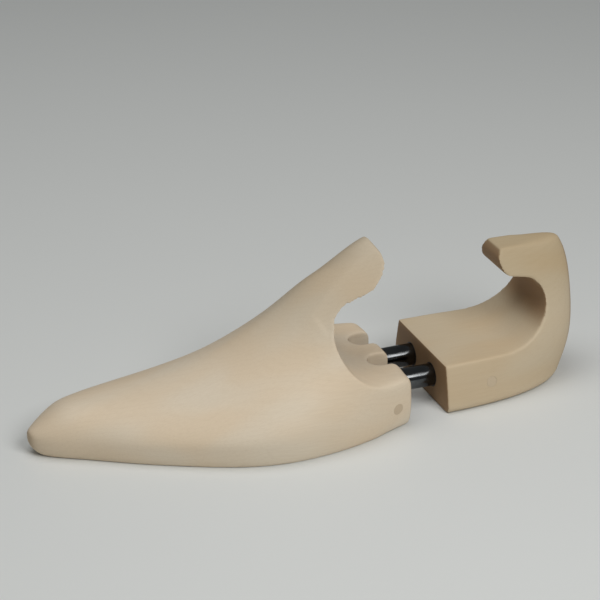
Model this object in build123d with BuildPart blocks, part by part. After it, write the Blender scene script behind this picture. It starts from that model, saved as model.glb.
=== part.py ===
from build123d import *
import math
import os

# Shoe tree: a carved forepart and a hook-shaped heel block joined by two sprung tubes.
# Millimetres. X runs from the toe (-X) to the heel (+X), Z is up and the sole lies on Z = 0.
# Left and right are those of a foot that points to -X, so the left side is -Y.

os.makedirs("parts", exist_ok=True)

# ---- driving dimensions: the two blocks ----
LENGTH = 297.0
TOE_X = -LENGTH / 2
HEEL_BACK_X = LENGTH / 2
HEEL_LENGTH = 84.0
FACE_GAP = 21.5                      # open space between forepart and heel block at rest
HEEL_FACE_X = HEEL_BACK_X - HEEL_LENGTH
FORE_REAR_X = HEEL_FACE_X - FACE_GAP
BELOW = 3.0                          # the forepart is shaped this far below its sole, then cut flat
WIDE = 60.0                          # half of a cutter that is wider than the tree

# ---- driving dimensions: tubes, pins and springs ----
TUBE_R = 6.0
TUBE_WALL = 1.0
BORE_R = TUBE_R - TUBE_WALL
TUBE_Y = 12.5                        # each tube's distance from the middle
TUBE_Z = 13.3
PIN_R = 2.0
PIN_FIT = 0.03                       # radial clearance of the hinge pin in what turns on it
SLIDE_FIT = 0.06                     # radial clearance of each tube in its sleeve
SLEEVE_WALL = 0.5
HINGE_X = HEEL_FACE_X - 31.5
STOP_PIN_X = HEEL_FACE_X + 26.0
TRAVEL = 9.0                          # how far the heel block slides towards the forepart
TUBE_FRONT_X = HINGE_X + 7.0
TUBE_REAR_X = HEEL_FACE_X + 40.0
BORE_END_X = TUBE_REAR_X + TRAVEL + 3.5
PLUG_R = 2.9
PLUG_DEPTH = 8.0

SIDES = {"left": -1, "right": 1}


def eased(points, x):
    """Value at x of a smooth curve through (x, value) points."""
    last = len(points) - 1
    i = max([k for k in range(last) if points[k][0] <= x], default=0)

    def slope(k):
        before, after = points[max(k - 1, 0)], points[min(k + 1, last)]
        return (after[1] - before[1]) / (after[0] - before[0])

    (x0, v0), (x1, v1) = points[i], points[i + 1]
    t = (x - x0) / (x1 - x0)
    level = v0 * (1 + 2 * t) * (1 - t) ** 2 + v1 * t * t * (3 - 2 * t)
    return level + (x1 - x0) * t * (1 - t) * (slope(i) * (1 - t) - slope(i + 1) * t)


def finish(part, name):
    """Label a finished piece and write it."""
    part.label = name
    export_step(part, f"parts/{name}.step")


# ---- forepart: lines of the carved block, as (distance behind the tip of the toe, value) ----
RIDGE = [(0, 16), (18, 23.8), (36, 26.4), (66, 30.8), (96, 39.6), (126, 56.8), (148, 72.8),
         (163, 82.3), (177, 90.8), (198, 99)]
LEFT_EDGE = [(0, 1), (21, 9.5), (46, 24), (72, 37.5), (96, 48), (121, 53), (148, 51),
             (168, 46), (186, 39.5), (198, 34)]
RIGHT_EDGE = [(0, 16), (21, 28), (46, 35.5), (72, 40), (96, 42), (121, 41.5), (148, 40),
              (168, 38.5), (186, 35.5), (198, 32)]
EDGE = {-1: LEFT_EDGE, 1: RIGHT_EDGE}
WIDEST_Z = [(0, 10), (36, 10), (96, 12), (146, 13), (198, 13)]
LEFT_SHOULDER = [(0, 0.62), (46, 0.52), (86, 0.40), (126, 0.36), (152, 0.42), (160, 0.52), (168, 0.60),
                 (175, 0.67), (198, 0.84)]
RIGHT_SHOULDER = [(0, 0.62), (46, 0.52), (86, 0.40), (126, 0.36), (198, 0.34)]
SHOULDER = {-1: LEFT_SHOULDER, 1: RIGHT_SHOULDER}
RISE = [(0, 0.5), (46, 0.48), (86, 0.42), (126, 0.38), (198, 0.36)]
CREST_Y = [(0, 7), (36, 6), (86, 2), (126, 0), (198, 0)]
SOLE_INSET = [(0, 6), (12, 8.5), (30, 8), (66, 6), (198, 6)]   # the side curves in this far at the sole
TOE_AXIS = (8.0, 11.0)               # Y and Z of the tip of the toe
TOE_CAP = 26.0                       # length over which the toe closes to its tip
TOE_BLUNT = 2.6                      # 2 closes the toe on an ellipse, more is blunter
ROUND = 0.5523                       # handle of a curve that stands for a quarter circle


def toe_closing(back):
    """Size of a section, from 0 at the tip of the toe to 1 where the toe cap ends."""
    ahead = max(1 - back / TOE_CAP, 0)
    return (1 - ahead ** TOE_BLUNT) ** (1 / TOE_BLUNT)


def forepart_section(back):
    """One cross-section of the forepart, drawn round its sole, sides and ridge."""
    half = {side: eased(EDGE[side], back) for side in SIDES.values()}
    top, widest, crest = eased(RIDGE, back), eased(WIDEST_Z, back), eased(CREST_Y, back)
    rise = eased(RISE, back)
    deep, inset = widest + BELOW, eased(SOLE_INSET, back)
    size = toe_closing(back)

    def at(y, z):
        return (TOE_AXIS[0] + size * (y - TOE_AXIS[0]), TOE_AXIS[1] + size * (z - TOE_AXIS[1]))

    with BuildSketch(Plane.YZ.offset(TOE_X + back)) as section:
        with BuildLine():
            for side in (-1, 1):
                edge, sole = side * half[side], side * (half[side] - inset)
                shoulder = eased(SHOULDER[side], back)
                Bezier(at(sole, -BELOW), at(sole + side * inset * ROUND, -BELOW),
                       at(edge, widest - deep * ROUND), at(edge, widest))
                Bezier(at(edge, widest), at(edge, widest + rise * (top - widest)),
                       at(crest + shoulder * (edge - crest), top), at(crest, top))
            Line(at(inset - half[-1], -BELOW), at(half[1] - inset, -BELOW))
        make_face()
    return section.sketch


# ---- forepart: tongue, finger scoop and hinge ears ----
EAR_TOP = 28.2
EAR_ROUND = 5.0
SLOT_R = TUBE_R + 0.5                # the slots clear the tubes by this much all round
SLOT_ROUND_X = HINGE_X + 2.0         # centre of each slot's round front end
FLAT_NORMAL = (-0.40, -0.60, 0.69)   # the flat carved on the tongue's left faces out, up and forward
FLAT_ALONG = (0.69, 0, 0.40)
FLAT_POINT = (20, -15, 79.7)

HINGE_SIDE = {side: eased(EDGE[side], HINGE_X - TOE_X) for side in SIDES.values()}

toe_turns = [6, 18, 32, 46, 60, 75, 90]
toe_stations = [TOE_CAP * (1 - math.cos(math.radians(turn))) for turn in toe_turns]
body_stations = [44, 62, 80, 98, 116, 134, 152, 168, 183, 198]

with BuildPart() as fore_blank:
    loft([forepart_section(back) for back in toe_stations + body_stations])
    split(bisect_by=Plane.XY, keep=Keep.TOP)
    split(bisect_by=Plane.YZ.offset(FORE_REAR_X), keep=Keep.BOTTOM)

with BuildPart() as forepart:
    add(fore_blank.part)
    # the flat carved on the left of the tongue
    with BuildSketch(Plane(origin=FLAT_POINT, x_dir=FLAT_ALONG, z_dir=FLAT_NORMAL)):
        Rectangle(60, 50)
    extrude(amount=20, mode=Mode.SUBTRACT)
    # finger scoop, tongue end and ear tops, cut through from side to side
    with BuildSketch(Plane.XZ):
        with BuildLine():
            RadiusArc((FORE_REAR_X, EAR_TOP - EAR_ROUND), (FORE_REAR_X - EAR_ROUND, EAR_TOP), -EAR_ROUND)
            Spline((FORE_REAR_X - EAR_ROUND, EAR_TOP), (17, 31), (4.5, 43), (2.5, 56), (7.5, 65),
                   (23.5, 73), (33, 82), (34.6, 88.5), (32, 93), (25, 94.5), tangents=[(-1, 0), (-1, 0)])
            Polyline((25, 94.5), (16, 112), (70, 112), (70, EAR_TOP - EAR_ROUND),
                     (FORE_REAR_X, EAR_TOP - EAR_ROUND))
        make_face()
    extrude(amount=WIDE, both=True, mode=Mode.SUBTRACT)
    # a round pocket for each tube, and the slot above it that the tube swings up through
    with Locations(*[(HINGE_X, side * TUBE_Y, TUBE_Z) for side in SIDES.values()]):
        Sphere(SLOT_R, mode=Mode.SUBTRACT)
    with BuildSketch(Plane.YZ.offset(HINGE_X)):
        for side in SIDES.values():
            with Locations((side * TUBE_Y, TUBE_Z)):
                Circle(SLOT_R)
    extrude(amount=WIDE, mode=Mode.SUBTRACT)
    with BuildSketch(Plane.XY.offset(TUBE_Z)):
        for side in SIDES.values():
            with Locations((SLOT_ROUND_X, side * TUBE_Y)):
                Circle(SLOT_R)
            with Locations((SLOT_ROUND_X + WIDE / 2, side * TUBE_Y)):
                Rectangle(WIDE, 2 * SLOT_R)
    extrude(amount=WIDE, mode=Mode.SUBTRACT)

    # cross hole for the hinge pin and the plugs over its ends
    with BuildSketch(Plane.XZ):
        with Locations((HINGE_X, TUBE_Z)):
            Circle(PIN_R)
    extrude(amount=WIDE, both=True, mode=Mode.SUBTRACT)
    for side in SIDES.values():
        with BuildSketch(Plane.XZ.offset(-side * (HINGE_SIDE[side] - PLUG_DEPTH))):
            with Locations((HINGE_X, TUBE_Z)):
                Circle(PLUG_R)
        extrude(amount=-side * WIDE, mode=Mode.SUBTRACT)
finish(forepart.part, "forepart_block")

# ---- heel block: level outlines of a rounded heel, as (height, value) ----
HEEL_TOP = 76.5
DECK_Z = 26.0
HEEL_BACK = [(0, 75), (4, 78), (14, 81.8), (30, 83.7), (46, HEEL_LENGTH), (62, 82.5), (80, 76)]
HEEL_FULL = [(0, 0.62), (14, 0.66), (30, 0.85), (80, 0.8)]   # how far back the sides stay parallel
HEEL_SQUARE = [(0, 0.74), (30, 0.75), (80, 0.7)]
HEEL_EDGE_ROUND = 4.0                # round under the sides and back of the seat
SLEEVE_R = TUBE_R + SLIDE_FIT + SLEEVE_WALL
SLEEVE_LENGTH = 45.0


def heel_half_width(z):
    return 35.0 - 0.12 * z - 0.0030 * z * z


def heel_outline(z, inset=0.0):
    """One level outline of the heel block: a flat front, long sides and a round back."""
    half, back = heel_half_width(z) - inset, eased(HEEL_BACK, z) - inset
    full, square = eased(HEEL_FULL, z), eased(HEEL_SQUARE, z)
    with BuildSketch(Plane.XY.offset(z)) as outline:
        with BuildLine():
            for side in SIDES.values():
                Bezier((HEEL_FACE_X, side * half), (HEEL_FACE_X + full * back, side * half),
                       (HEEL_FACE_X + back, side * square * half), (HEEL_FACE_X + back, 0))
            Line((HEEL_FACE_X, -half), (HEEL_FACE_X, half))
        make_face()
    return outline.sketch


STOP_SIDE = heel_half_width(TUBE_Z)


def seat_edge(turn):
    """Height and inset of a level round the seat's edge, from the flat seat (0) to the side (90)."""
    angle = math.radians(turn)
    return HEEL_EDGE_ROUND * (1 - math.cos(angle)), HEEL_EDGE_ROUND * (1 - math.sin(angle))


with BuildPart() as heel_blank:
    loft([heel_outline(z) for z in (HEEL_EDGE_ROUND, 14, 30, 46, 62, 80)])
    split(bisect_by=Plane.XY.offset(HEEL_TOP), keep=Keep.BOTTOM)
    loft([heel_outline(*seat_edge(turn)) for turn in (0, 30, 60, 90)])

with BuildPart() as heel:
    add(heel_blank.part)
    # deck, hook and lip, cut through from side to side
    with BuildSketch(Plane.XZ):
        with BuildLine():
            Line((HEEL_FACE_X - 5, DECK_Z), (HEEL_FACE_X + 34, DECK_Z))
            Spline((HEEL_FACE_X + 34, DECK_Z), (HEEL_FACE_X + 56, 34), (HEEL_FACE_X + 62.5, 47),
                   (HEEL_FACE_X + 57.5, 58.5), (HEEL_FACE_X + 47.5, 61.8), (HEEL_FACE_X + 40, 65.5),
                   (HEEL_FACE_X + 38.5, 71), (HEEL_FACE_X + 40.5, HEEL_TOP),
                   tangents=[(1, 0), (0.5, 1)])
            Polyline((HEEL_FACE_X + 40.5, HEEL_TOP), (HEEL_FACE_X + 40.5, 100), (HEEL_FACE_X - 5, 100),
                     (HEEL_FACE_X - 5, DECK_Z))
        make_face()
    extrude(amount=WIDE, both=True, mode=Mode.SUBTRACT)
    # bores for the tubes' sleeves, the cross hole for the stop pin and its plugs
    with BuildSketch(Plane.YZ.offset(HEEL_FACE_X)):
        for side in SIDES.values():
            with Locations((side * TUBE_Y, TUBE_Z)):
                Circle(SLEEVE_R)
    extrude(amount=BORE_END_X - HEEL_FACE_X, mode=Mode.SUBTRACT)
    with BuildSketch(Plane.XZ):
        with Locations((STOP_PIN_X, TUBE_Z)):
            Circle(PIN_R)
    extrude(amount=WIDE, both=True, mode=Mode.SUBTRACT)
    for side in SIDES.values():
        with BuildSketch(Plane.XZ.offset(-side * (STOP_SIDE - PLUG_DEPTH))):
            with Locations((STOP_PIN_X, TUBE_Z)):
                Circle(PLUG_R)
        extrude(amount=-side * WIDE, mode=Mode.SUBTRACT)
finish(heel.part, "heel_block")

# ---- pins across the two blocks, with a wooden plug over each end ----


def cross_pin(x, left_end, right_end, name):
    """A steel pin across the tree, with chamfered ends."""
    with BuildPart() as pin:
        with BuildSketch(Plane.XZ.offset(-right_end)):
            with Locations((x, TUBE_Z)):
                Circle(PIN_R)
        extrude(amount=right_end + left_end)
        chamfer(pin.edges().filter_by(GeomType.CIRCLE), 0.4)
    finish(pin.part, name)


def plug(x, side, surface, blank, name):
    """A wooden plug, trimmed flush with the side of the block that it sits in."""
    with BuildPart() as piece:
        with BuildSketch(Plane.XZ.offset(-side * (surface - PLUG_DEPTH))):
            with Locations((x, TUBE_Z)):
                Circle(PLUG_R)
        extrude(amount=-side * 2 * PLUG_DEPTH)
        add(blank, mode=Mode.INTERSECT)
    finish(piece.part, name)


cross_pin(HINGE_X, HINGE_SIDE[-1] - PLUG_DEPTH, HINGE_SIDE[1] - PLUG_DEPTH, "hinge_pin")
cross_pin(STOP_PIN_X, STOP_SIDE - PLUG_DEPTH, STOP_SIDE - PLUG_DEPTH, "stop_pin")
for side_name, side in SIDES.items():
    plug(HINGE_X, side, HINGE_SIDE[side], fore_blank.part, f"hinge_pin_plug_{side_name}")
    plug(STOP_PIN_X, side, STOP_SIDE, heel_blank.part, f"stop_pin_plug_{side_name}")

# ---- what each tube is made of, from the hinge backwards ----
PIVOT_SPIGOT = 10.0                  # how far the pivot plug reaches into the tube
SPRING_FRONT_X = TUBE_FRONT_X + PIVOT_SPIGOT
SLIDER_LENGTH = 6.0
SLIDER_R = BORE_R - 0.1
SPRING_REAR_X = STOP_PIN_X - PIN_R - SLIDER_LENGTH
SPRING_TURNS = 7
WIRE_R = 0.6
COIL_R = BORE_R - 0.5 - WIRE_R
STOP_SLOT_FRONT_X = STOP_PIN_X - TRAVEL - PIN_R - 0.5
STOP_SLOT_REAR_X = STOP_PIN_X + PIN_R + 0.05
STOP_SLOT_HEIGHT = 2 * PIN_R + 0.3
CAP_THICKNESS = 1.5
CAP_SPIGOT = 5.0


def axial(x, y):
    """A plane across the tube on one side, facing the heel."""
    return Plane(origin=(x, y, TUBE_Z), x_dir=(0, 1, 0), z_dir=(1, 0, 0))


def make_tube(y, name):
    """A steel tube with a long slot through both walls for the stop pin."""
    with BuildPart() as tube:
        with BuildSketch(axial(TUBE_FRONT_X, y)):
            Circle(TUBE_R)
            Circle(BORE_R, mode=Mode.SUBTRACT)
        extrude(amount=TUBE_REAR_X - TUBE_FRONT_X)
        with BuildSketch(Plane.XZ.offset(-y)):
            with Locations(((STOP_SLOT_FRONT_X + STOP_SLOT_REAR_X) / 2, TUBE_Z)):
                SlotOverall(STOP_SLOT_REAR_X - STOP_SLOT_FRONT_X, STOP_SLOT_HEIGHT)
        extrude(amount=2 * TUBE_R, both=True, mode=Mode.SUBTRACT)
    finish(tube.part, name)


def make_pivot_plug(y, name):
    """The solid front end of a tube: a ball nose drilled for the hinge pin, and a spigot."""
    with BuildPart() as pivot:
        with Locations((HINGE_X, y, TUBE_Z)):
            Sphere(TUBE_R)
        with BuildSketch(axial(HINGE_X, y)):
            Circle(TUBE_R)
        extrude(amount=TUBE_FRONT_X - HINGE_X)
        with BuildSketch(axial(TUBE_FRONT_X, y)):
            Circle(BORE_R)
        extrude(amount=PIVOT_SPIGOT)
        with BuildSketch(Plane.XZ.offset(-y)):
            with Locations((HINGE_X, TUBE_Z)):
                Circle(PIN_R + PIN_FIT)
        extrude(amount=2 * TUBE_R, both=True, mode=Mode.SUBTRACT)
    finish(pivot.part, name)


def make_spring(y, name):
    """A compression spring with open ends, cut square."""
    length = SPRING_REAR_X - SPRING_FRONT_X
    with BuildPart() as spring:
        with BuildLine() as coil:
            Helix(pitch=(length - 2 * WIRE_R) / SPRING_TURNS, height=length - 2 * WIRE_R, radius=COIL_R,
                  center=(SPRING_FRONT_X + WIRE_R, y, TUBE_Z), direction=(1, 0, 0))
        with BuildSketch(Plane(origin=coil.line @ 0, z_dir=coil.line % 0)):
            Circle(WIRE_R)
        sweep(path=coil.line)
    finish(spring.part, name)


def make_slider(y, name):
    """A slug between the spring and the stop pin, chamfered at both ends."""
    with BuildPart() as slider:
        with BuildSketch(axial(SPRING_REAR_X, y)):
            Circle(SLIDER_R)
        extrude(amount=SLIDER_LENGTH)
        chamfer(slider.edges().filter_by(GeomType.CIRCLE), 0.5)
    finish(slider.part, name)


def make_end_cap(y, name):
    """A cap with a spigot in the rear end of a tube."""
    with BuildPart() as cap:
        with BuildSketch(axial(TUBE_REAR_X - CAP_SPIGOT, y)):
            Circle(BORE_R)
        extrude(amount=CAP_SPIGOT)
        with BuildSketch(axial(TUBE_REAR_X, y)):
            Circle(TUBE_R - 0.1)
        extrude(amount=CAP_THICKNESS)
        chamfer(cap.faces().sort_by(Axis.X)[-1].edges(), 0.4)
    finish(cap.part, name)


def make_sleeve(y, name):
    """A thin sleeve that lines a bore of the heel block, with holes for the stop pin."""
    with BuildPart() as sleeve:
        with BuildSketch(axial(HEEL_FACE_X, y)):
            Circle(SLEEVE_R)
            Circle(TUBE_R + SLIDE_FIT, mode=Mode.SUBTRACT)
        extrude(amount=SLEEVE_LENGTH)
        with BuildSketch(Plane.XZ.offset(-y)):
            with Locations((STOP_PIN_X, TUBE_Z)):
                Circle(PIN_R)
        extrude(amount=2 * TUBE_R, both=True, mode=Mode.SUBTRACT)
    finish(sleeve.part, name)


for side_name, side in SIDES.items():
    make_tube(side * TUBE_Y, f"tube_{side_name}")
    make_pivot_plug(side * TUBE_Y, f"pivot_plug_{side_name}")
    make_spring(side * TUBE_Y, f"spring_{side_name}")
    make_slider(side * TUBE_Y, f"spring_slider_{side_name}")
    make_end_cap(side * TUBE_Y, f"tube_end_cap_{side_name}")
    make_sleeve(side * TUBE_Y, f"guide_sleeve_{side_name}")
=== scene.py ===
"""Looks of a carved wooden shoe tree. Metres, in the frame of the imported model:
X runs from the toe to the heel, Z is up, and the near side of the picture is -Y."""

import math

import bmesh
import bpy
import numpy as np
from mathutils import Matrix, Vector


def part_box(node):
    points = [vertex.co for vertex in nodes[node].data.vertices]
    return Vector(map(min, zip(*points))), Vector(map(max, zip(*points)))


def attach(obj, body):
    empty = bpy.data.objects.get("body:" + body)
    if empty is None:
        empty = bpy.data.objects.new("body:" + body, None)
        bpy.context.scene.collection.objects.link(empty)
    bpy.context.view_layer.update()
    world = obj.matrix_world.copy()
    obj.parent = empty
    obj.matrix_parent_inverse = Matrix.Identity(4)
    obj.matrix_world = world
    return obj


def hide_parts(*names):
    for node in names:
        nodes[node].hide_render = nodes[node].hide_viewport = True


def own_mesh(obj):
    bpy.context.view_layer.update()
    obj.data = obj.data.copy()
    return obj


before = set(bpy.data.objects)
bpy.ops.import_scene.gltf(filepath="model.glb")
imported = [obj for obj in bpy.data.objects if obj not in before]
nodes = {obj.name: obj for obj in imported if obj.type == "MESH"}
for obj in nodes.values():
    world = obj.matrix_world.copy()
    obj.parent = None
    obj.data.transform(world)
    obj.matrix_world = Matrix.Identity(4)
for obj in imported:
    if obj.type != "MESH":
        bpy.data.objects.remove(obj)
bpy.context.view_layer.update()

MM = 0.001
IN_MM = (1000, 1000, 1000)           # scales a place in metres to millimetres
SIDES = {"left": -1, "right": 1}

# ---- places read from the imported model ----


def middle(node):
    low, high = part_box(node)
    return (low + high) / 2


HINGE = middle("hinge_pin")
HEEL_FACE_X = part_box("guide_sleeve_left")[0].x
HEEL_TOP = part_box("heel_block")[1].z
EAR_REAR_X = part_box("forepart_block")[1].x
PIN_R = (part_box("hinge_pin")[1].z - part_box("hinge_pin")[0].z) / 2
PLUG_R = (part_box("stop_pin_plug_left")[1].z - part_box("stop_pin_plug_left")[0].z) / 2
SLEEVE_R = (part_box("guide_sleeve_left")[1].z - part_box("guide_sleeve_left")[0].z) / 2
TUBE_Y = middle("tube_right").y
SLIDE = 9 * MM                       # travel of the heel_slide joint
BORE_END_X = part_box("tube_end_cap_left")[1].x + SLIDE + 3 * MM
GLUE_GAP = 0.06 * MM                 # between a plug and its pocket
REACH = 60 * MM                      # cutters run this far to each side, past the widest block

# ---- camera, light and floor ----


def look_at(obj, target):
    obj.rotation_euler = (Vector(target) - obj.location).to_track_quat("-Z", "Y").to_euler()


def make_camera():
    data = bpy.data.cameras.new("camera")
    data.lens = 139.0
    data.sensor_width = 36.0
    data.clip_end = 20.0
    camera = bpy.data.objects.new("camera", data)
    camera.location = (-0.4013, -0.9824, 0.5802)
    camera.rotation_euler = (math.radians(64), 0, math.radians(-22))
    bpy.context.scene.collection.objects.link(camera)
    bpy.context.scene.camera = camera


def area_light(name, place, target, size, watts, colour):
    data = bpy.data.lights.new(name, "AREA")
    data.shape = "RECTANGLE"
    data.size, data.size_y = size
    data.energy = watts
    data.color = colour
    light = bpy.data.objects.new(name, data)
    light.location = place
    bpy.context.scene.collection.objects.link(light)
    look_at(light, target)


def make_studio():
    scene = bpy.context.scene
    scene.view_settings.view_transform = "Standard"
    world = bpy.data.worlds.new("studio")
    world.use_nodes = True
    world.node_tree.nodes["Background"].inputs["Color"].default_value = (0.70, 0.72, 0.72, 1)
    world.node_tree.nodes["Background"].inputs["Strength"].default_value = 0.19
    scene.world = world
    area_light("key_softbox", (0.25, -0.93, 1.0), (0, 0, 0.03), (0.7, 0.7), 9.5, (1, 0.985, 0.96))
    area_light("top_softbox", (-0.22, 0.05, 1.15), (-0.08, 0, 0), (0.8, 0.8), 4.3, (1, 0.99, 0.97))
    bpy.ops.mesh.primitive_plane_add(size=8)
    floor = bpy.context.object
    floor.name = "floor"
    floor.data.materials.append(floor_material())


# ---- node helpers ----


class Nodes:
    """Adds shader nodes to a new material and links them in one call."""

    def __init__(self, name):
        self.material = bpy.data.materials.new(name)
        self.material.use_nodes = True
        self.tree = self.material.node_tree
        self.shader = self.tree.nodes["Principled BSDF"]

    def add(self, kind, inputs=None, **settings):
        node = self.tree.nodes.new("ShaderNode" + kind)
        for key, value in settings.items():
            setattr(node, key, value)
        for key, value in (inputs or {}).items():
            self.put(node.inputs[key], value)
        return node

    def put(self, socket, value):
        if isinstance(value, bpy.types.NodeSocket):
            self.tree.links.new(value, socket)
        else:
            socket.default_value = value

    def math(self, operation, a, b=0.0):
        return self.add("Math", {0: a, 1: b}, operation=operation).outputs[0]

    def scaled(self, vector, scale):
        node = self.add("VectorMath", {0: vector, 1: scale}, operation="MULTIPLY")
        return node.outputs[0]

    def noise(self, vector, scale, detail=2.0, rough=0.5):
        node = self.add("TexNoise", {"Vector": vector, "Scale": scale, "Detail": detail, "Roughness": rough})
        return node.outputs[0]

    def span(self, value, low, high, to_low=0.0, to_high=1.0):
        """value from low..high, eased to to_low..to_high and held there outside."""
        node = self.add("MapRange", {"Value": value, "From Min": low, "From Max": high,
                                     "To Min": to_low, "To Max": to_high}, interpolation_type="SMOOTHSTEP")
        return node.outputs[0]

    def blend(self, factor, a, b, mode="MIX"):
        node = self.add("Mix", data_type="RGBA", blend_type=mode)
        self.put(node.inputs[0], factor)
        self.put(node.inputs[6], a)
        self.put(node.inputs[7], b)
        return node.outputs[2]

    def surface(self, **inputs):
        for key, value in inputs.items():
            self.put(self.shader.inputs[key.replace("_", " ")], value)

    def bump(self, height, strength, depth):
        node = self.add("Bump", {"Height": height, "Strength": strength, "Distance": depth})
        self.put(self.shader.inputs["Normal"], node.outputs[0])


def floor_material():
    n = Nodes("pale_floor")
    place = n.add("TexCoord").outputs["Object"]
    patch = n.noise(place, 3.0)
    n.surface(Base_Color=n.blend(patch, (0.72, 0.74, 0.735, 1), (0.745, 0.765, 0.76, 1)), Roughness=0.6)
    return n.material


# Painted shade: the wood's colour darkens between these heights, in mm, standing in for less light on the
# top of the block.
TOP_SHADE_LOW = 34.0
TOP_SHADE_HIGH = 72.0
RING_WANDER = 34.0                   # how far the growth rings wander, in mm
RING_TURN = 2.35                     # radians of ring pattern for each mm from the pith


def wood_material(name, pale, warm, streak, end_grain_and_shade_tint, end_grain_and_shade_mix, painted_top_shade, pith, turn=None):
    """Fine pale hardwood, from pale to warm in broad zones, with streak for its fibres.

    Faces across the grain take end_grain_and_shade_tint by end_grain_and_shade_mix: the browner colour of
    end grain, which on the heel is made deep enough to be painted shade too. The top of the block is
    multiplied by painted_top_shade, which is painted shade.
    The grain runs along X, or along Y with turn; pith is the trunk's centre in mm."""
    n = Nodes(name)
    coords = n.add("TexCoord")
    place = n.scaled(coords.outputs["Object"], IN_MM)
    normal = coords.outputs["Normal"]
    if turn:
        place = n.add("VectorRotate", {"Vector": place, "Axis": (0, 0, 1), "Angle": turn}).outputs[0]
        normal = n.add("VectorRotate", {"Vector": normal, "Axis": (0, 0, 1), "Angle": turn}).outputs[0]
    # slow wander of the grain, then growth rings round the pith
    wander = n.noise(n.scaled(place, (0.35, 1, 1)), 0.030, 2.0)
    across = n.add("SeparateXYZ", {0: place})
    dy = n.math("SUBTRACT", across.outputs[1], pith[0])
    dz = n.math("SUBTRACT", across.outputs[2], pith[1])
    radius = n.math("SQRT", n.math("ADD", n.math("MULTIPLY", dy, dy), n.math("MULTIPLY", dz, dz)))
    radius = n.math("ADD", radius, n.math("MULTIPLY", wander, RING_WANDER))
    ring = n.math("SINE", n.math("MULTIPLY", radius, RING_TURN))
    late = n.span(ring, 0.1, 1.0)
    # fibres, short dark flecks and broad colour zones
    fibre = n.noise(n.scaled(place, (0.045, 1.7, 1.7)), 1.0, 4.0, 0.62)
    hair = n.noise(n.scaled(place, (0.16, 5.2, 5.2)), 1.0, 2.0, 0.6)
    fleck = n.span(n.noise(n.scaled(place, (0.42, 2.6, 2.6)), 1.0, 1.0, 0.5), 0.66, 0.76)
    zone = n.noise(n.scaled(place, (0.4, 1, 1)), 0.045, 1.0)
    colour = n.blend(n.span(zone, 0.3, 0.7), pale, warm)
    colour = n.blend(n.math("MULTIPLY", late, 0.035), colour, streak)
    colour = n.blend(n.span(fibre, 0.35, 0.75, 0.0, 0.11), colour, streak)
    colour = n.blend(n.math("MULTIPLY", fleck, 0.15), colour, streak)
    # painted shade: a broad darkening of the colour towards the top of the block, standing in for less light
    # there
    high = n.span(across.outputs[2], TOP_SHADE_LOW, TOP_SHADE_HIGH)
    colour = n.blend(high, colour, painted_top_shade, "MULTIPLY")
    # open end grain drinks more light and looks browner, with fine pores; where end_grain_and_shade_tint is
    # strong, as on the heel, the browning is also painted shade
    facing = n.math("ABSOLUTE", n.add("SeparateXYZ", {0: normal}).outputs[0])
    end = n.span(facing, 0.62, 0.97)
    pores = n.span(n.noise(n.scaled(place, (0.3, 3.4, 3.4)), 1.0, 2.0), 0.5, 0.72)
    colour = n.blend(n.math("MULTIPLY", end, end_grain_and_shade_mix), colour, end_grain_and_shade_tint)
    colour = n.blend(n.math("MULTIPLY", n.math("MULTIPLY", end, pores), 0.18), colour, (0.23, 0.15, 0.08, 1))
    rough = n.span(n.math("ADD", fibre, n.math("MULTIPLY", end, 0.3)), 0.3, 0.9, 0.50, 0.68)
    n.surface(Base_Color=colour, Roughness=rough)
    n.shader.inputs["Specular IOR Level"].default_value = 0.32
    height = n.math("ADD", n.math("MULTIPLY", fibre, 0.6), n.math("MULTIPLY", hair, 0.4))
    height = n.math("SUBTRACT", height, n.math("MULTIPLY", fleck, 0.5))
    n.bump(height, 0.25, 0.00010)
    return n.material


def metal_material(name, colour, rough, lines, depth):
    """Turned metal: very fine lines round the X axis, faint stains and a little uneven gloss."""
    n = Nodes(name)
    place = n.scaled(n.add("TexCoord").outputs["Object"], IN_MM)
    turned = n.noise(n.scaled(place, (lines, 0.25, 0.25)), 1.0, 2.0)
    stain = n.noise(place, 0.11, 3.0)
    dark = tuple(0.72 * c for c in colour[:3]) + (1,)
    n.surface(Base_Color=n.blend(n.span(stain, 0.35, 0.7), colour, dark),
              Roughness=n.span(stain, 0.3, 0.75, rough, rough * 1.5))
    n.shader.inputs["Metallic"].default_value = 1.0
    n.bump(turned, 0.25, depth)
    return n.material


def plastic_material():
    n = Nodes("black_nylon")
    place = n.scaled(n.add("TexCoord").outputs["Object"], IN_MM)
    grain = n.noise(place, 3.0, 3.0)
    n.surface(Base_Color=n.blend(grain, (0.012, 0.012, 0.013, 1), (0.028, 0.028, 0.03, 1)),
              Roughness=n.span(grain, 0.3, 0.7, 0.42, 0.58))
    n.bump(grain, 0.3, 0.00008)
    return n.material


# ---- mesh helpers ----


def new_object(name, mesh):
    obj = bpy.data.objects.new(name, mesh)
    bpy.context.scene.collection.objects.link(obj)
    return obj


def lathe(name, start, along, profile, segments=96):
    """A closed turned solid. profile is a list of (distance along, radius) from start."""
    along = Vector(along).normalized()
    one = along.orthogonal().normalized()
    two = along.cross(one)
    mesh = bmesh.new()
    rings = []
    for distance, radius in profile:
        ring = []
        for k in range(segments):
            turn = 2 * math.pi * k / segments
            spoke = one * (radius * math.cos(turn)) + two * (radius * math.sin(turn))
            ring.append(mesh.verts.new(Vector(start) + along * distance + spoke))
        rings.append(ring)
    for a, b in zip(rings, rings[1:]):
        for k in range(segments):
            m = (k + 1) % segments
            mesh.faces.new((a[k], a[m], b[m], b[k]))
    mesh.faces.new(rings[0])
    mesh.faces.new(rings[-1])
    bmesh.ops.recalc_face_normals(mesh, faces=mesh.faces)
    data = bpy.data.meshes.new(name)
    mesh.to_mesh(data)
    mesh.free()
    return data


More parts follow.
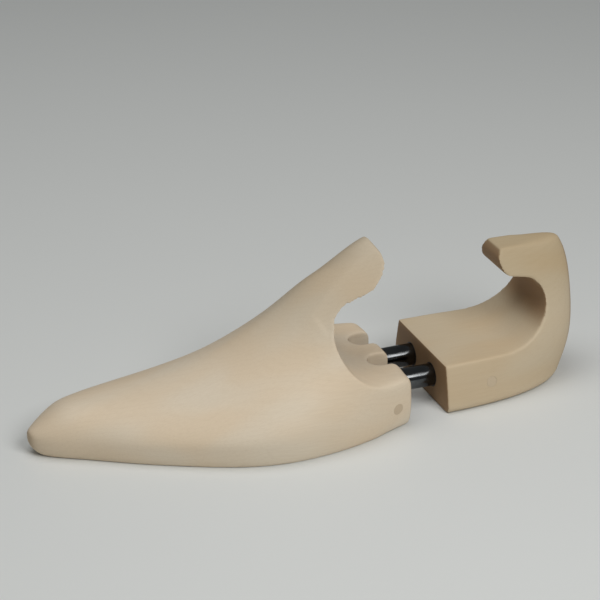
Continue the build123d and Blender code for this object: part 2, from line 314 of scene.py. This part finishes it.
def joined(name, meshes):
    """One mesh from several."""
    whole = bmesh.new()
    for mesh in meshes:
        whole.from_mesh(mesh)
    data = bpy.data.meshes.new(name)
    whole.to_mesh(data)
    whole.free()
    return data


def bake_modifiers(obj):
    """Makes the modified shape the object's own mesh."""
    bpy.context.view_layer.update()
    graph = bpy.context.evaluated_depsgraph_get()
    mesh = bpy.data.meshes.new_from_object(obj.evaluated_get(graph))
    obj.modifiers.clear()
    obj.data = mesh


def boolean(obj, tool_mesh, operation):
    tool = new_object("cutter", tool_mesh)
    cut = obj.modifiers.new("cut", "BOOLEAN")
    cut.operation = operation
    cut.solver = "EXACT"
    cut.object = tool
    bake_modifiers(obj)
    bpy.data.objects.remove(tool)


def smooth_shading(obj, crease_degrees=35):
    obj.data.polygons.foreach_set("use_smooth", [True] * len(obj.data.polygons))
    obj.data.set_sharp_from_angle(angle=math.radians(crease_degrees))


# ---- the two carved blocks ----
VOXEL = 0.8 * MM
EDGE_PASSES = 9                      # smoothing passes over every edge
HAND_PASSES = 70                     # further passes where a block is rounded more


def ramp(values, low, high):
    t = np.clip((values - low) / (high - low), 0, 1)
    return t * t * (3 - 2 * t)


def forepart_softness(co):
    """Where the forepart is rounded more: the hinge ears' outer rear corners and the tongue's tip."""
    x, y, z = (co / MM).T
    rear = EAR_REAR_X / MM
    outer = ramp(np.abs(y), 23, 29)
    ear = ramp(x, rear - 24, rear - 12) * ramp(-z, -42, -34) * outer
    tip = ramp(z, 86, 93) * 0.25
    return np.maximum(ear, tip)


def heel_softness(co):
    """Where the heel block is rounded more: the back of the lip's top."""
    x, y, z = (co / MM).T
    return ramp(z, HEEL_TOP / MM - 9, HEEL_TOP / MM - 2) * ramp(x, 116, 126) * 0.9


def vertex_places(obj):
    """The places of the mesh's vertices, one row each."""
    co = np.zeros(len(obj.data.vertices) * 3)
    obj.data.vertices.foreach_get("co", co)
    return co.reshape(-1, 3)


def softened(name, node, fillers, softness):
    """The block as one solid with its pin holes filled, every edge sanded and some rounded by hand."""
    obj = new_object(name, joined(name, [nodes[node].data, *fillers]))
    remesh = obj.modifiers.new("remesh", "REMESH")
    remesh.mode = "VOXEL"
    remesh.voxel_size = VOXEL
    bake_modifiers(obj)
    weights = softness(vertex_places(obj))
    group = obj.vertex_groups.new(name="hand")
    for k in np.nonzero(weights > 0.01)[0]:
        group.add([int(k)], float(weights[k]), "REPLACE")
    edges = obj.modifiers.new("edges", "SMOOTH")
    edges.factor = 0.5
    edges.iterations = EDGE_PASSES
    hand = obj.modifiers.new("hand", "SMOOTH")
    hand.factor = 0.5
    hand.iterations = HAND_PASSES
    hand.vertex_group = group.name
    bake_modifiers(obj)
    obj.vertex_groups.clear()
    return obj


def settle_on_sole(obj):
    """Keeps the smoothed sole exactly on the plane it stands on."""
    points = vertex_places(obj)
    points[:, 2] = np.maximum(points[:, 2], 0)
    obj.data.vertices.foreach_set("co", points.ravel())
    obj.data.update()


def cross_hole(pin_low, pin_high):
    """The turned cutter of a pin's cross hole, with a plug pocket beyond each end of the pin."""
    centre = (pin_low + pin_high) / 2
    pocket, hole = PLUG_R + GLUE_GAP, PIN_R + GLUE_GAP / 2
    profile = [(-REACH, pocket), (pin_low.y, pocket), (pin_low.y + GLUE_GAP, hole),
               (pin_high.y - GLUE_GAP, hole), (pin_high.y, pocket), (REACH, pocket)]
    return lathe("cross_hole", (centre.x, 0, centre.z), (0, 1, 0), profile)


def make_block(node, body, pin, fillers, softness, bores, wood, plug_wood):
    """Replaces a block and its two plugs by sanded ones that fit each other."""
    obj = softened(node + "_carved", node, fillers, softness)
    settle_on_sole(obj)
    pin_low, pin_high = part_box(pin)
    centre = (pin_low + pin_high) / 2
    for side_name, side in SIDES.items():
        pocket = pin_low.y if side < 0 else pin_high.y
        plug_node = f"{pin}_plug_{side_name}"
        plug = new_object(plug_node + "_sanded", obj.data.copy())
        boolean(plug, lathe("plug", (centre.x, pocket, centre.z), (0, side, 0),
                            [(0, PLUG_R), (REACH, PLUG_R)]), "INTERSECT")
        finish_piece(plug, body, plug_node, plug_wood)
    if bores:
        boolean(obj, bores, "DIFFERENCE")
    boolean(obj, cross_hole(pin_low, pin_high), "DIFFERENCE")
    finish_piece(obj, body, node, wood)


def finish_piece(obj, body, node, material):
    paint(obj, material)
    smooth_shading(obj)
    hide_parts(node)
    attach(obj, body)


def pin_filler(pin):
    """What fills the cross hole and both plug pockets of a block: its own plugs and pin."""
    plugs = [nodes[f"{pin}_plug_{side_name}"].data for side_name in SIDES]
    return plugs + [nodes[pin].data]


def bore_filler(x_end, radius, front):
    """Two rods that fill or cut the heel block's bores."""
    rods = []
    for side in SIDES.values():
        start = (front, side * TUBE_Y, HINGE.z)
        rods.append(lathe("rod", start, (1, 0, 0), [(0, radius), (x_end - front, radius)]))
    return rods


PALE_STREAK = (0.46, 0.33, 0.20, 1)
PLAIN = (1, 1, 1, 1)                 # a painted top shade that changes nothing


def forepart_wood():
    # (0.78, 0.77, 0.74) is painted shade that darkens the top of the forepart
    return wood_material("pale_hardwood", (0.74, 0.645, 0.51, 1), (0.74, 0.61, 0.45, 1), PALE_STREAK,
                         (0.44, 0.32, 0.20, 1), 0.62, (0.78, 0.77, 0.74, 1), (-60, -95))


# The heel's end-grain colour (0.27, 0.155, 0.075) at 0.85 is partly end grain and partly painted shade for
# its shaded front face.
def heel_wood():
    # (0.84, 0.81, 0.74) is painted shade that darkens the top of the heel
    return wood_material("pale_hardwood_heel", (0.61, 0.51, 0.365, 1), (0.60, 0.475, 0.315, 1), PALE_STREAK,
                         (0.27, 0.155, 0.075, 1), 0.85, (0.84, 0.81, 0.74, 1), (70, -60))


def forepart_dowel_wood():
    return wood_material("dowel_wood", (0.64, 0.54, 0.41, 1), (0.62, 0.51, 0.37, 1), PALE_STREAK,
                         (0.55, 0.43, 0.30, 1), 0.5, PLAIN, (9, 11), turn=math.pi / 2)


def heel_dowel_wood():
    return wood_material("dowel_wood_heel", (0.62, 0.52, 0.38, 1), (0.61, 0.49, 0.34, 1), PALE_STREAK,
                         (0.56, 0.44, 0.30, 1), 0.4, PLAIN, (9, 11), turn=math.pi / 2)


def make_blocks():
    make_block("forepart_block", "forepart", "hinge_pin", pin_filler("hinge_pin"), forepart_softness,
               None, forepart_wood(), forepart_dowel_wood())
    # the filling goes a little deeper and wider than the bores, so that the cut leaves clean walls
    rods = bore_filler(BORE_END_X + MM, SLEEVE_R + 0.2 * MM, HEEL_FACE_X)
    cut = joined("bores", bore_filler(BORE_END_X, SLEEVE_R, HEEL_FACE_X - 6 * MM))
    make_block("heel_block", "heel", "stop_pin", pin_filler("stop_pin") + rods, heel_softness,
               cut, heel_wood(), heel_dowel_wood())


def paint(obj, material):
    obj.data.materials.clear()
    obj.data.materials.append(material)


def paint_metal():
    """Paints the pieces that stay as packed, and returns the spring wire's material."""
    gunmetal = metal_material("dark_plated_steel", (0.11, 0.115, 0.12, 1), 0.11, 2.0, 0.00002)
    bright = metal_material("turned_steel", (0.46, 0.46, 0.47, 1), 0.24, 6.0, 0.00004)
    wire = metal_material("spring_wire", (0.30, 0.30, 0.31, 1), 0.30, 1.0, 0.00004)
    nylon = plastic_material()
    looks = {"tube_left": gunmetal, "tube_right": gunmetal, "hinge_pin": bright, "stop_pin": bright}
    for side in SIDES:
        looks[f"pivot_plug_{side}"] = gunmetal
        looks[f"spring_slider_{side}"] = bright
        looks[f"tube_end_cap_{side}"] = nylon
        looks[f"guide_sleeve_{side}"] = nylon
    for name, material in looks.items():
        paint(nodes[name], material)
    return wire


def make_springs(wire):
    """Replaces each packed spring by a painted copy of it that rides with the tubes."""
    for side_name in SIDES:
        node = f"spring_{side_name}"
        spring = new_object(node + "_coil", nodes[node].data.copy())
        paint(spring, wire)
        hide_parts(node)
        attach(spring, "tubes")
        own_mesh(spring)


make_camera()
make_studio()
make_springs(paint_metal())
make_blocks()

bpy.context.view_layer.update()
